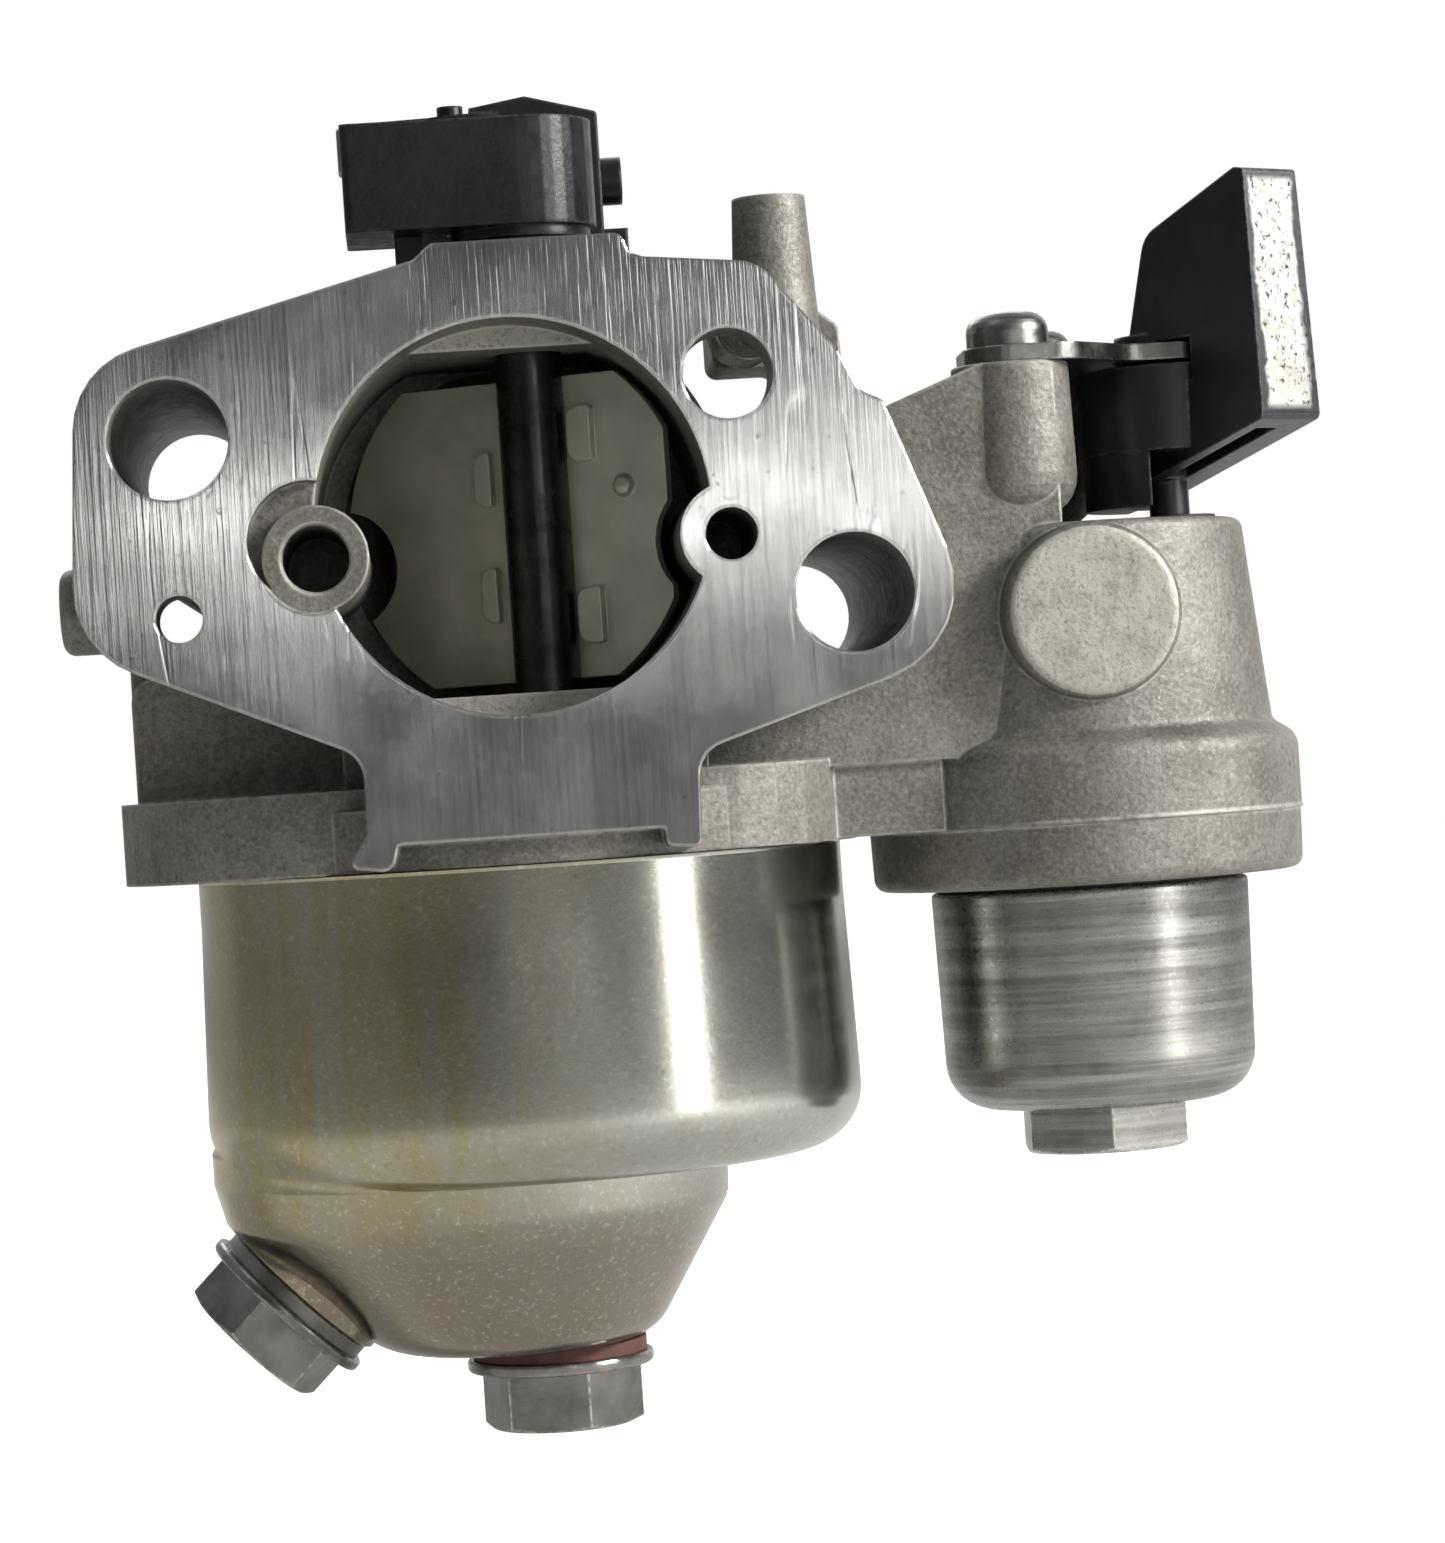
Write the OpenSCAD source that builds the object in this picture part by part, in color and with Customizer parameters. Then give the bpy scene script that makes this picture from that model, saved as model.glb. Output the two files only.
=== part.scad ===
// Small-engine float-bowl carburetor with vertical choke and throttle shafts,
// a rotary fuel valve and a screwed sediment cup.
// Origin: centre of the outlet bore in the engine-side flange face.
// +Y points to the engine, +X to the fuel valve side, +Z up.

/* [Flanges] */
// Length between the two flange faces
body_length = 42; // [42:0.5:44]
// Distance between the two mounting studs
stud_spacing = 42; // [41.5:0.1:42.5]
// Fall of the stud line towards the fuel valve, in degrees
stud_angle = 16; // [14:0.5:18]
// Diameter of the stud holes
stud_hole_d = 7.2; // [6.4:0.1:7.4]
// Thickness of the air-cleaner flange
flange_t = 5; // [4:0.5:5.5]

/* [Air passage] */
// Diameter of the intake bore
intake_d = 23.8; // [23.4:0.1:24.2]
// Diameter of the venturi throat
throat_d = 15; // [14:0.5:16]
// Diameter of the throttle bore
throttle_d = 19; // [18.8:0.1:19.4]

/* [Choke] */
// Opening of the choke plate from closed, in degrees
choke_open = 30; // [26:1:36]
// Diameter of the choke shaft
choke_shaft_d = 4.2; // [4:0.1:4.4]

/* [Throttle] */
// Opening of the throttle plate at idle, in degrees
throttle_open = 6; // [4:1:12]
// Diameter of the throttle shaft
throttle_shaft_d = 5; // [4.6:0.1:5.2]

/* [Float bowl] */
// Outer diameter of the float bowl
bowl_d = 41.2; // [41:0.1:41.3]
// Sheet thickness of the float bowl
bowl_t = 1; // [0.8:0.1:1.2]
// Droop of the float when the bowl is dry, in degrees
float_drop = 10; // [6:1:11]

/* [Fuel valve and sediment cup] */
// Outer diameter of the sediment cup
cup_d = 20.5; // [20:0.1:21]
// Direction of the fuel valve lever, in degrees towards the air cleaner
lever_angle = 56; // [50:2:60]

/* [Hidden] */
$fn = 48;

front_y = -body_length;
stud_r = stud_spacing / 2;
stud_x = stud_r * cos(stud_angle);
stud_z = stud_r * sin(stud_angle);
stud_hole_r = stud_hole_d / 2;

intake_r = intake_d / 2;
throat_r = throat_d / 2;
throttle_r = throttle_d / 2;

// Choke: a vertical shaft beside the bore centre
choke_x = 1.8;
choke_y = front_y + 10;
choke_shaft_r = choke_shaft_d / 2;
choke_flat = 0.4;
choke_plate_t = 0.7;
choke_closed = 15;
choke_plate_gap = 0.35;
choke_plate_reach = 8.8;
choke_plate_top = 9.0;
choke_plate_bottom = -9.7;
chamber_flat = 10.5;
chamber_end_y = -22.5;
boss_top_z = 17.0;

// The two cast columns that stand in the edge of the intake bore
pillar_x = -11.9;
pillar_z = -1.8;
pillar_r = 3.2;
pillar_drop = 0.15;
pillar_hole_r = 2.0;
column_x = 13.0;
column_z = -1.85;
column_r = 3.1;
column_hole_r = 1.57;

// Throttle
throttle_y = -10;
throttle_shaft_r = throttle_shaft_d / 2;
throttle_plate_t = 1;
throttle_boss_z = 18.5;

// Float bowl
bowl_y = -21;
bowl_r = bowl_d / 2;
seat_z = -20.8;
can_x = -0.5;
can_flare = 0.35;
can_flare_z = -35.8;
bowl_shoulder_z = -40.3;
bowl_shoulder_r = 3.8;
sump_x = -4.6;
sump_r = 16.1;
sump_top_x = -4.9;
sump_top_r = 16.5;
sump_wall_z = -43;
sump_end_x = -2.6;
sump_end_r = 8.8;
bowl_bottom_z = -51.8;
post_r = 6;
post_bottom_z = -46;
bolt_r = 3;
fit_gap = 0.03;
hex_flats = 9;
washer_t = 0.9;

// Drain bolt on the sloping left wall of the sump
drain_x = -16.1;
drain_z = -47.2;
drain_tilt = 45.7;

// Float and needle
float_pivot_x = 15.5;
float_pivot_z = -23.7;
float_top_z = -23.6;
float_bottom_z = -32;
float_outer_r = 17.8;
float_inner_r = 8.8;
float_pin_r = 0.8;
needle_x = 11.2;
needle_r = 1.6;

// Fuel valve and sediment tower
tower_x = 36.2;
tower_y = -21;
tower_top_z = -1.9;
ring_r = 14.05;
ring_bottom_z = -24.6;
ring_top_z = -15.6;
cup_r = cup_d / 2;
cup_neck_r = 8.5;
valve_x = 43.1;
valve_y = -21;
valve_hub_r = 5.6;
valve_hub_z = 2.6;
valve_cam_z = -0.9;
valve_shoulder_z = 8.05;
valve_drum_r = 3;
valve_drum_z = -2.3;
valve_spindle_r = 1.3;
valve_plate_z = 8.35;
valve_plate_t = 1.05;
plate_screw_spots = [[32.2, -28.5], [35.7, -14.2]];

// Screws that set the engine's idle
idle_x = 8.6;
idle_z = 15.2;
idle_post_y = -20;
idle_head_y = -25.4;
stop_arm_y = throttle_y - 2.2;
mixture_x = 16.2;
mixture_z = 12.3;
mixture_head_y = -25;
mixture_lug_y = -17;
screw_r = 1.5;

unit_up = [0, 0, 1];

// ---------- outline helpers ----------

function unit(v) = v / norm(v);

// Points of the arc that rounds corner b between neighbours a and c
function corner_arc(a, b, c, r, steps) =
    let (
        u = unit(a - b),
        v = unit(c - b),
        half = acos(u * v) / 2,
        centre = b + unit(u + v) * r / sin(half),
        start = b + u * r / tan(half) - centre,
        stop = b + v * r / tan(half) - centre,
        from = atan2(start.y, start.x),
        sweep = ((atan2(stop.y, stop.x) - from + 540) % 360) - 180
    )
    [for (i = [0 : steps]) centre + r * [cos(from + sweep * i / steps), sin(from + sweep * i / steps)]];

function flat_point(p) = [p.x, p.y];

// A closed outline from corners [x, y, rounding radius]
function rounded_outline(corners, steps = 6) = [
    for (i = [0 : len(corners) - 1])
        let (
            last = len(corners) - 1,
            here = corners[i],
            before = corners[i == 0 ? last : i - 1],
            after = corners[i == last ? 0 : i + 1]
        )
        each here.z > 0
            ? corner_arc(flat_point(before), flat_point(here), flat_point(after), here.z, steps)
            : [flat_point(here)]
];

// Turns outline corners about the origin
function turned(corners, angle) = [
    for (p = corners)
        [p.x * cos(angle) - p.y * sin(angle), p.x * sin(angle) + p.y * cos(angle), p.z]
];

// ---------- solid helpers ----------

module rod_x(x0, x1, y, z, r0, r1) {
    translate([x0, y, z]) rotate([0, 90, 0]) cylinder(h = x1 - x0, r1 = r0, r2 = is_undef(r1) ? r0 : r1);
}

module rod_y(y0, y1, x, z, r0, r1) {
    translate([x, y0, z]) rotate([-90, 0, 0]) cylinder(h = y1 - y0, r1 = r0, r2 = is_undef(r1) ? r0 : r1);
}

module rod_z(z0, z1, x, y, r0, r1) {
    translate([x, y, z0]) cylinder(h = z1 - z0, r1 = r0, r2 = is_undef(r1) ? r0 : r1);
}

module box(low, high) {
    translate(low) cube(high - low);
}

// An X-Z outline given thickness from y0 to y1
module slab_y(corners, y0, y1, steps = 6) {
    translate([0, y1, 0]) rotate([90, 0, 0]) linear_extrude(y1 - y0)
        polygon(rounded_outline(corners, steps));
}

// An X-Y outline given thickness from z0 to z1
module slab_z(corners, z0, z1, steps = 6) {
    translate([0, 0, z0]) linear_extrude(z1 - z0) polygon(rounded_outline(corners, steps));
}

// A solid of revolution about +Z from corners [radius, z, rounding]
module turned_solid(corners, steps = 6) {
    rotate_extrude($fn = 64) polygon(rounded_outline(corners, steps));
}

// A flat ring
module ring(z0, z1, inner_r, outer_r) {
    difference() {
        cylinder(h = z1 - z0, r = outer_r);
        translate([0, 0, -1]) cylinder(h = z1 - z0 + 2, r = inner_r);
    }
}

// Hexagon head that hangs from z = 0 down
module hex_head(flats, height) {
    intersection() {
        translate([0, 0, -height]) cylinder(h = height, r = flats / 2 / cos(30), $fn = 6);
        turned_solid([
            [0, 0, 0], [flats * 0.7, 0, 0], [flats * 0.7, 0.8 - height, 0],
            [flats * 0.5, -height, 0], [0, -height, 0]
        ]);
    }
}

// Flanged hexagon bolt: the flange lies under z = 0 and the shank stands above it
module flange_bolt(shank_length, head_h, turn) {
    cylinder(h = shank_length, r = bolt_r);
    turned_solid([[0, 0.5, 0], [2.9, 0.5, 0], [2.9, 0, 0], [6, 0, 0.2], [6, -0.8, 0.3], [0, -0.8, 0]]);
    translate([0, 0, -0.7]) rotate([0, 0, turn]) hex_head(hex_flats, head_h);
}

// Pan-head screw with a cross recess: the head stands above z = 0
module pan_screw(head_r, head_h, shank_r, shank_length) {
    difference() {
        union() {
            turned_solid([
                [0, -0.5, 0], [shank_r, -0.5, 0], [shank_r, 0, 0], [head_r, 0, 0],
                [head_r, head_h, head_h * 0.55], [0, head_h, 0]
            ]);
            translate([0, 0, -shank_length]) cylinder(h = shank_length, r = shank_r);
        }
        for (turn = [0, 90])
            rotate([0, 0, turn + 20]) translate([-head_r * 0.6, -0.35, head_h * 0.35]) cube([head_r * 1.2, 0.7, head_h]);
    }
}

// Ring of points around the wire of a coil spring along +Z
function coil_ring(mean_r, wire_r, turns, length, t, sides) =
    let (
        angle = 360 * turns * t,
        z = wire_r + (length - 2 * wire_r) * t,
        out = [cos(angle), sin(angle), 0]
    )
    [for (k = [0 : sides - 1])
        out * (mean_r + wire_r * cos(360 * k / sides)) + unit_up * (z + wire_r * sin(360 * k / sides))];

// Coil spring that stands on z = 0
module coil_spring(mean_r, wire_r, turns, length, per_turn = 14, sides = 6) {
    rings = turns * per_turn;
    points = [for (i = [0 : rings]) each coil_ring(mean_r, wire_r, turns, length, i / rings, sides)];
    start_cap = [[for (k = [0 : sides - 1]) k]];
    end_cap = [[for (k = [0 : sides - 1]) rings * sides + sides - 1 - k]];
    skin = [for (i = [0 : rings - 1], k = [0 : sides - 1])
        [i * sides + k, (i + 1) * sides + k, (i + 1) * sides + (k + 1) % sides, i * sides + (k + 1) % sides]];
    polyhedron(points, concat(start_cap, skin, end_cap), convexity = 6);
}

// ---------- body ----------

// Corners of the air-cleaner flange in X and Z
front_corners = [
    [-3.9, 16.55, 0.8], [7.6, 16.55, 0.8], [8.0, 15.1, 0.7], [15.6, 14.35, 2.6],
    [20.1, 8.7, 3], [21.3, 6.2, 1], [22.6, 5.6, 0.8],
    [28.0, -9.25, 5.9], [10.2, -14.8, 2], [10.0, -20.5, 0.4], [7.9, -20.3, 0.4], [7.85, -19.2, 0.3],
    [-8.1, -19.2, 0.3], [-8.5, -20.8, 0.8], [-11.2, -20.4, 0.4], [-9.9, -18.4, 0.6], [-9.9, -13.8, 2],
    [-26.6, -6.4, 5.5], [-25.5, 10.4, 5.2], [-5.0, 15.6, 1]
];

// Corners of the engine flange before it is turned to the stud line
rear_corners = [
    [26.8, -5.8, 5.4], [26.8, 5.8, 5.4], [6, 13.3, 9], [-6, 13.3, 9],
    [-26.8, 5.8, 5.4], [-26.8, -5.8, 5.4], [-6, -13.3, 9], [6, -13.3, 9]
];

module body_passage_casting() {
    rod_y(front_y + 4, -21, 0, 0, intake_r + 1.7);
    rod_y(-21.5, -16, 0, 0, intake_r + 1.7, throttle_r + 3);
    rod_y(-16.5, -3, 0, 0, throttle_r + 3);
    rod_z(9, boss_top_z, choke_x, choke_y, 5.7);
    rod_z(-15.5, -9, choke_x, choke_y, 4.4);
    rod_z(9, throttle_boss_z, 0, throttle_y, 4.4);
    rod_z(-15.5, -9, 0, throttle_y, 4.6);
}

module body_flanges() {
    slab_y(front_corners, front_y, front_y + flange_t);
    slab_y(turned(rear_corners, -stud_angle), -6, 0);
    for (side = [-1, 1])
        rod_y(front_y + 4, -4, side * stud_x, -side * stud_z, stud_hole_r + 1.75);
    slab_y([[-19, 1.2, 0], [-19, 10.2, 0], [-6, 12, 0], [-6, 0, 0]], -33, -9);
}

module body_bowl_seat() {
    slab_z([[-25.4, -37.6, 12], [20.9, -37.6, 13], [20.9, -3.4, 13], [-25.4, -3.4, 9]], seat_z, -15.7, 8);
    rod_z(seat_z, -17, can_x, bowl_y, bowl_r - 0.4);
    box([-11.2, -34.4, -17.5], [11.2, -9.2, -6]);
    box([14, -31, seat_z + 0.1], [26, -12, -15.9]);
    rod_z(post_bottom_z, -10, 0, bowl_y, post_r);
    rod_z(-22.4, -19, needle_x, bowl_y, 3.2);
    for (side = [-1, 1])
        box([13.7, bowl_y + side * 5 - 0.9, -25.4], [17, bowl_y + side * 5 + 0.9, -19]);
}

module body_left_side() {
    slab_y([[-24.2, -16.8, 0], [-24.2, -8.2, 1.5], [-8, -5.5, 0], [-8, -16.8, 0]], -28, -14);
    slab_y([[-24.2, -16.8, 0], [-24.2, -2.6, 1.2], [-22.7, -2.6, 0], [-22.7, -16.8, 0]], -27, -19);
    translate([-23.2, -23, -3.3]) rotate([0, -90, 0])
        turned_solid([[0, -0.4, 0], [2.75, -0.4, 0], [2.75, 5.3, 0.8], [0, 5.3, 0]]);
}

module body_tower() {
    translate([tower_x, tower_y, 0]) turned_solid([
        [0, ring_bottom_z, 0], [ring_r - 0.2, ring_bottom_z, 0.8], [ring_r - 0.1, -20.8, 0],
        [ring_r + 0.12, -20.65, 0], [ring_r, -20.5, 0], [ring_r, ring_top_z - 0.4, 1.5],
        [12.5, ring_top_z + 0.6, 0.8], [11.3, tower_top_z, 0.7], [0, tower_top_z, 0]
    ]);
    translate([35.8, -30, -7.6]) rotate([90, 0, 0])
        turned_solid([[0, -2, 0], [5.9, -2, 0], [5.5, 4.1, 0.7], [0, 4.1, 0]]);
    slab_y([
        [9, -16.2, 0], [34.5, -16.2, 0], [34.5, valve_plate_z, 0.6],
        [30, valve_plate_z, 0.8], [23.6, 5.9, 1.2], [9, 5.6, 0]
    ], -31.5, -11.5);
    for (spot = plate_screw_spots)
        translate([spot.x, spot.y, 0])
            turned_solid([[0, -1.4, 0], [3.9, -1.4, 2.6], [3.7, valve_plate_z, 0.2], [0, valve_plate_z, 0]]);
    rod_y(-12.5, -7.5, tower_x, -8.5, 4.6);
}

module body_posts() {
    rod_z(9.5, 18.95, 17.1, -34.9, 2.75, 2.25);
    box([idle_x - 2, idle_post_y - 2.4, 5], [idle_x + 2, idle_post_y + 2.5, idle_z]);
    rod_y(idle_post_y - 2.6, idle_post_y + 2.7, idle_x, idle_z, 2.4);
    slab_y([
        [14.3, 10.2, 0.8], [18.9, 10.2, 1], [18.9, 4, 0], [22.9, 4, 0],
        [22.7, 12.6, 0.6], [19.5, 15.2, 0.6], [14.3, 15.2, 0.8]
    ], mixture_lug_y, -9);
    rod_z(8, 14, -7.5, -20.5, 3.4);
}

// Air path: recess, choke chamber with flats, bell, throat and throttle bore
module air_path() {
    rod_y(front_y - 1, front_y + flange_t, 0, 0, intake_r);
    intersection() {
        rod_y(front_y + flange_t - 0.5, chamber_end_y, 0, 0, intake_r);
        box([-20, front_y, -chamber_flat], [20, 0, chamber_flat]);
    }
    rotate([-90, 0, 0]) turned_solid([
        [0, chamber_end_y - 0.5, 0], [chamber_flat - 0.05, chamber_end_y - 0.5, 0],
        [chamber_flat - 0.05, chamber_end_y, 0], [8.3, -20, 2], [throat_r, -17.6, 1], [throat_r, -17, 0],
        [throttle_r, -14, 0], [throttle_r, 1, 0], [0, 1, 0]
    ]);
    rod_y(front_y - 1, front_y + 1.6, pillar_x - 0.35, pillar_z + 1.05, 3.66);
    rod_y(front_y - 1, front_y + pillar_drop, pillar_x - 0.1, pillar_z, pillar_r + 0.12);
}

module body_columns() {
    rod_y(front_y + pillar_drop, chamber_end_y - 1, pillar_x, pillar_z, pillar_r);
    rod_y(front_y, chamber_end_y - 1, column_x, column_z, column_r);
}

module body_holes() {
    for (side = [-1, 1])
        rod_y(front_y - 1, 1, side * stud_x, -side * stud_z, stud_hole_r);
    rod_y(front_y - 1, front_y + flange_t + 1, 13.4, 7.75, 2.72);
    rod_y(front_y - 1, front_y + flange_t + 1, -20.2, -4.9, 1.4);
    rod_y(front_y - 1, front_y + 14, pillar_x, pillar_z, pillar_hole_r);
    rod_y(front_y - 0.3, front_y + 0.3, pillar_x, pillar_z, pillar_hole_r + 0.6, pillar_hole_r);
    rod_y(front_y - 1, front_y + 14, column_x, column_z, column_hole_r);
    rod_z(-13.7, boss_top_z + 1, choke_x, choke_y, choke_shaft_r + fit_gap);
    rod_z(-13.9, throttle_boss_z + 1, 0, throttle_y, throttle_shaft_r + fit_gap);
    rod_z(post_bottom_z - 1, -39.4, 0, bowl_y, bolt_r + fit_gap);
    rod_z(-39.6, -35.9, 0, bowl_y, 2.2 + fit_gap);
    rod_z(-36, -8, 0, bowl_y, 2.5 + fit_gap);
    rod_y(bowl_y - 7, bowl_y + 7, 0, -38, 1.1);
    rod_z(-23, -17.3, needle_x, bowl_y, 2.4 + fit_gap);
    rod_z(-17.5, -13.4, needle_x, bowl_y, 0.9);
    rod_x(needle_x - 0.5, 31, bowl_y, -13.5, 0.9);
    rod_y(bowl_y - 7.5, bowl_y + 7.5, float_pivot_x, float_pivot_z, float_pin_r + fit_gap);
    translate([tower_x, tower_y, 0]) {
        rod_z(ring_bottom_z - 1, -17.4, 0, 0, cup_neck_r + fit_gap);
        rod_z(-17.5, -12, 0, 0, 7.4);
    }
    rod_z(-9.2, tower_top_z + 1, valve_x, valve_y, valve_drum_r + fit_gap);
    rod_z(-12.5, -9, 42, valve_y, 1);
    rod_y(-18, -7, tower_x, -8.5, 2.2 + fit_gap);
    rod_z(-12.5, -8.5, tower_x, -16.5, 1.2);
    for (spot = plate_screw_spots)
        rod_z(1.6, valve_plate_z + 1, spot.x, spot.y, screw_r + fit_gap);
    rod_y(idle_post_y - 4, idle_post_y + 4, idle_x, idle_z, screw_r + fit_gap);
    rod_y(mixture_lug_y - 1, -11.3, mixture_x, mixture_z, screw_r + fit_gap);
    rod_x(mixture_x, 20.9, -12.6, mixture_z, 0.5);
    rod_z(1, mixture_z, 20.9, -12.6, 0.5);
    rod_x(9, 20.9, -12.6, 1, 0.5);
    rod_z(10.9, 15, -7.5, -20.5, 2 + fit_gap);
    rod_z(9.4, 11, -7.5, -20.5, 0.7);
    rod_z(-15.6, -13.6, choke_x, choke_y, 2.5 + fit_gap);
    rod_x(-29, -27.3, -23, -3.3, 1.5 + fit_gap);
}

module carburetor_body() {
    color([0.46, 0.45, 0.43]) difference() {
        union() {
            difference() {
                union() {
                    body_passage_casting();
                    body_flanges();
                    body_bowl_seat();
                    body_left_side();
                    body_tower();
                    body_posts();
                }
                air_path();
            }
            body_columns();
        }
        body_holes();
    }
}

// ---------- choke ----------

// Places children built about the choke axis, with the plate closed, at the rest opening
module at_choke() {
    translate([choke_x, choke_y, 0]) rotate([0, 0, -choke_open]) children();
}

module choke_shaft() {
    color([0.12, 0.12, 0.13]) at_choke() difference() {
        rod_z(-13.5, 23, 0, 0, choke_shaft_r);
        box([-4, choke_flat, -10.3], [4, 4, 9.6]);
        box([-4, choke_flat + 0.2, 18], [4, 4, 24]);
    }
}

// Outline of the plate, which closes the bore at a slant: an oval with flats and two notches
module choke_plate_shape() {
    plate_r = intake_r - choke_plate_gap;
    slant = cos(choke_closed);
    difference() {
        intersection() {
            polygon([for (a = [0 : 4 : 356]) [(plate_r * cos(a) - choke_x) / slant, plate_r * sin(a)]]);
            translate([-20, choke_plate_bottom])
                square([20 + choke_plate_reach, choke_plate_top - choke_plate_bottom]);
        }
        translate([(pillar_x - choke_x) / slant, pillar_z]) circle(r = pillar_r + 0.45);
        translate([(column_x - choke_x) / slant, column_z]) circle(r = column_r + 0.7);
    }
}

module choke_plate() {
    back = choke_flat + choke_plate_t;
    color([0.42, 0.41, 0.35]) at_choke() {
        translate([0, back, 0]) rotate([90, 0, 0]) linear_extrude(choke_plate_t) choke_plate_shape();
        for (z = [3, -4.2])
            pressed_tab(-4.2, -3.1, z);
        for (z = [5.3, -5.9])
            pressed_tab(2.5, 4.1, z);
        translate([5.9, choke_flat + 0.2, 1.9]) rotate([90, 0, 0])
            turned_solid([[0, -0.3, 0], [0.85, -0.3, 0], [0.85, 0, 0], [0.5, 0.65, 0.2], [0, 0.75, 0]]);
    }
}

// Pressed-up tab beside the choke shaft
module pressed_tab(x0, x1, z) {
    slab_y([[x0, z - 1.7, 0.8], [x1, z - 1.7, 0.2], [x1, z + 1.7, 0.2], [x0, z + 1.7, 0.8]],
        choke_flat - 0.7, choke_flat + choke_plate_t, 4);
}

module choke_lever() {
    reach = -10.7;
    half = 4.8;
    hub_z = boss_top_z + 0.4;
    low_z = boss_top_z + 1.1;
    color([0.11, 0.12, 0.13]) translate([choke_x, choke_y, 0]) difference() {
        union() {
            slab_z([[reach, -half, 0.5], [half, -half, half - 0.05], [half, half, half - 0.05], [reach, half, 0.5]],
                low_z, 24.7, 10);
            box([-7.75, -1, 15.95], [-6.05, 3, low_z + 1]);
            rod_z(hub_z, low_z + 0.5, 0, 0, 4.4);
        }
        difference() {
            rod_z(hub_z - 1, 23.05, 0, 0, choke_shaft_r + fit_gap);
            rotate([0, 0, -choke_open]) box([-4, choke_flat + 0.25, 18], [4, 4, 24]);
        }
    }
}

module choke_shaft_seal() {
    color([0.1, 0.1, 0.1]) translate([choke_x, choke_y, boss_top_z]) ring(0, 0.35, choke_shaft_r + 0.05, 4.2);
}

// ---------- throttle ----------

module at_throttle() {
    translate([0, throttle_y, 0]) rotate([0, 0, throttle_open]) children();
}

module throttle_shaft() {
    half = throttle_plate_t / 2 + 0.01;
    color([0.55, 0.55, 0.53]) at_throttle() difference() {
        rod_z(-13.7, 26, 0, 0, throttle_shaft_r);
        box([-6, -half, -9.45], [6, half, 9.45]);
        rod_y(-4, 4, 0, 0, 1.5 + fit_gap);
        rod_y(-4, -2.1, 0, 0, 2.5);
    }
}

module throttle_plate() {
    color([0.72, 0.6, 0.35]) at_throttle() difference() {
        rod_y(-throttle_plate_t / 2, throttle_plate_t / 2, 0, 0, throttle_r - 0.15);
        rod_y(-4, 4, 0, 0, 1.5 + fit_gap);
    }
}

module throttle_plate_screw() {
    color([0.6, 0.6, 0.58]) at_throttle() translate([0, -2.12, 0]) rotate([90, 0, 0])
        pan_screw(2.3, 1.3, 1.5, 4.6);
}

module throttle_lever() {
    low_z = throttle_boss_z + 1.3;
    link_hole_x = -6.9;
    color([0.1, 0.1, 0.11]) translate([0, throttle_y, 0]) difference() {
        union() {
            rod_z(low_z, 28.1, 0, 0, 5.4);
            slab_z([[-9.3, -3.2, 3], [0, -5, 0], [0, 5, 0], [-9.3, 3.2, 3]], 25.3, 28.1);
            box([7.2, stop_arm_y - throttle_y, 14.3], [9.6, throttle_y - stop_arm_y, low_z + 0.6]);
            slab_y([
                [1, low_z, 0], [7.9, low_z, 0.3], [7.9, 27.8, 0.3], [3.2, 29.05, 0.3],
                [-0.5, 28.45, 0], [-0.5, 26, 0], [1, 26, 0]
            ], -5.2, 5, 3);
            rod_x(7, 9.4, -1, 23.7, 1.6);
            rod_z(27, 29.35, -1.65, 0, 0.87);
        }
        rod_z(low_z - 1, 26.05, 0, 0, throttle_shaft_r + fit_gap);
        rod_z(24, 30, link_hole_x, 0, 1.25);
    }
}

module throttle_shaft_seal() {
    color([0.15, 0.15, 0.15]) translate([0, throttle_y, throttle_boss_z])
        ring(0, 1, throttle_shaft_r + 0.05, 4.2);
}

module slotted_screw(head_r, head_h, shank_length, tip_h) {
    difference() {
        union() {
            turned_solid([[0, 0, 0], [head_r, 0, 0], [head_r, head_h, 0.4], [0, head_h, 0]]);
            rod_z(-shank_length, 0.5, 0, 0, screw_r);
            rod_z(-shank_length - tip_h, -shank_length, 0, 0, 0.5, screw_r);
        }
        box([-head_r - 1, -0.35, head_h - 0.9], [head_r + 1, 0.35, head_h + 1]);
    }
}

module idle_stop_screw() {
    tip_h = 0.9;
    color([0.62, 0.6, 0.52]) translate([idle_x, idle_head_y, idle_z]) rotate([90, 0, 0])
        slotted_screw(1.9, 1.5, stop_arm_y - 0.05 - tip_h - idle_head_y, tip_h);
}

module idle_stop_spring() {
    color([0.55, 0.55, 0.52]) translate([idle_x, idle_post_y - 2.6, idle_z]) rotate([90, 0, 0])
        coil_spring(1.8, 0.22, 3, 2.75);
}

module mixture_screw() {
    color([0.7, 0.6, 0.36]) translate([mixture_x, mixture_head_y, mixture_z]) rotate([90, 0, 0])
        slotted_screw(2.3, 1.5, 11.4, 2);
}

module mixture_spring() {
    color([0.5, 0.5, 0.48]) translate([mixture_x, mixture_lug_y - 0.05, mixture_z]) rotate([90, 0, 0])
        coil_spring(1.95, 0.35, 6, 7.9);
}

module pilot_jet() {
    color([0.13, 0.13, 0.14]) translate([-7.5, -20.5, 14.15]) difference() {
        union() {
            turned_solid([[0, 0, 0], [3.1, 0, 0], [3.1, 1.6, 0.5], [0, 1.6, 0]]);
            rod_z(-3.1, 0.5, 0, 0, 2);
        }
        rod_z(-4, 1.2, 0, 0, 0.6);
        box([-4, -0.35, 0.9], [4, 0.35, 2]);
    }
}

module pilot_jet_seal() {
    color([0.1, 0.1, 0.1]) translate([-7.5, -20.5, 14]) ring(0, 0.14, 2.05, 3.2);
}

// ---------- fuel metering ----------

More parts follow.
